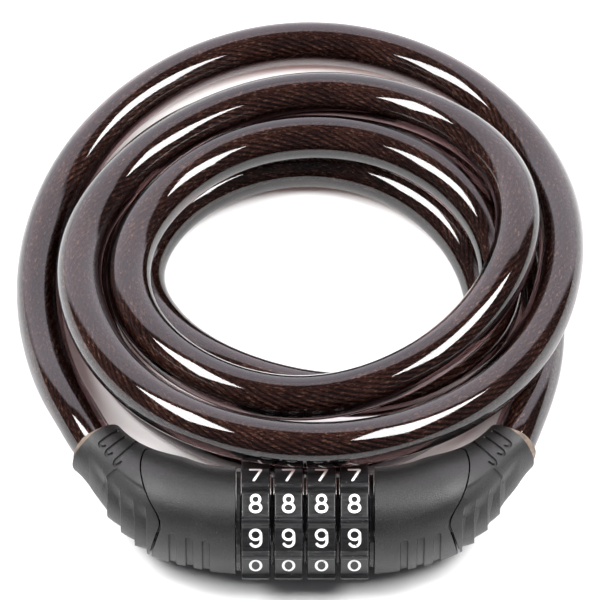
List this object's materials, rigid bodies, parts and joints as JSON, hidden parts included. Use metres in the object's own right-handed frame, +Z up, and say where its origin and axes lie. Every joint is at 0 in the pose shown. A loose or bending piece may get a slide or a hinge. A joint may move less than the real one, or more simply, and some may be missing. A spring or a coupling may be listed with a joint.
{
  "type": "combination cable lock",
  "caption": "Combination lock barrel with number dials between two bent housings, and a coiled jacketed steel cable that joins its ends; the bolt side pulls off when the code gates line up.",
  "frame": {"origin": "on the resting surface, under the centre of the lock's own box (without the cable)", "axes": "+X along the barrel from the bolt housing to the fixed housing, +Y from the lock towards the middle of the coil, +Z up"},
  "size_m": [0.1521, 0.1859, 0.0437],
  "materials": {
    "matt_black_abs": "fine spark-eroded texture, matt black",
    "satin_black_dial": "satin black with raised ribs",
    "plated_steel": "bright zinc plate",
    "brass": "stamped, tumbled",
    "zinc_die_cast": "as cast",
    "grommet_rubber": "soft, matt",
    "smoke_black_pvc": "glossy smoke-tinted clear jacket over dark strands"
  },
  "bodies": {
    "lock_side": {"lock_housing": "matt_black_abs", "lock_end_cover": "matt_black_abs", "lock_core": "zinc_die_cast", "dial_retainer": "satin_black_dial", "thrust_ring": "satin_black_dial", "spacer_ring_1": "satin_black_dial", "spacer_ring_2": "satin_black_dial", "spacer_ring_3": "satin_black_dial", "detent_leaf_spring": "plated_steel", "detent_ball_1": "plated_steel", "detent_ball_2": "plated_steel", "detent_ball_3": "plated_steel", "detent_ball_4": "plated_steel", "lock_anchor": "zinc_die_cast", "lock_anchor_pin": "plated_steel", "lock_ferrule": "plated_steel", "lock_cable_seal": "grommet_rubber", "cable_jacket": "smoke_black_pvc", "cable_core": "plated_steel"},
    "bolt_side": {"bolt_housing": "matt_black_abs", "bolt_end_cover": "matt_black_abs", "bolt": "plated_steel", "bolt_anchor": "zinc_die_cast", "bolt_anchor_pin": "plated_steel", "bolt_ferrule": "plated_steel", "bolt_cable_seal": "grommet_rubber"},
    "dial_1": {"number_dial_1": "satin_black_dial", "code_ring_1": "brass"},
    "dial_2": {"number_dial_2": "satin_black_dial", "code_ring_2": "brass"},
    "dial_3": {"number_dial_3": "satin_black_dial", "code_ring_3": "brass"},
    "dial_4": {"number_dial_4": "satin_black_dial", "code_ring_4": "brass"}
  },
  "joints": [
    {"name": "bolt_slide", "type": "slide", "parent": "lock_side", "child": "bolt_side", "axis": [-1, 0, 0], "range_m": [0, 0.038], "deforming": ["cable_jacket", "cable_core"]},
    {"name": "dial_1_turn", "type": "hinge", "parent": "lock_side", "child": "dial_1", "pos_m": [0, -0.0065, 0.0169], "axis": [1, 0, 0], "continuous": true},
    {"name": "dial_2_turn", "type": "hinge", "parent": "lock_side", "child": "dial_2", "pos_m": [0, -0.0065, 0.0169], "axis": [1, 0, 0], "continuous": true},
    {"name": "dial_3_turn", "type": "hinge", "parent": "lock_side", "child": "dial_3", "pos_m": [0, -0.0065, 0.0169], "axis": [1, 0, 0], "continuous": true},
    {"name": "dial_4_turn", "type": "hinge", "parent": "lock_side", "child": "dial_4", "pos_m": [0, -0.0065, 0.0169], "axis": [1, 0, 0], "continuous": true}
  ]
}
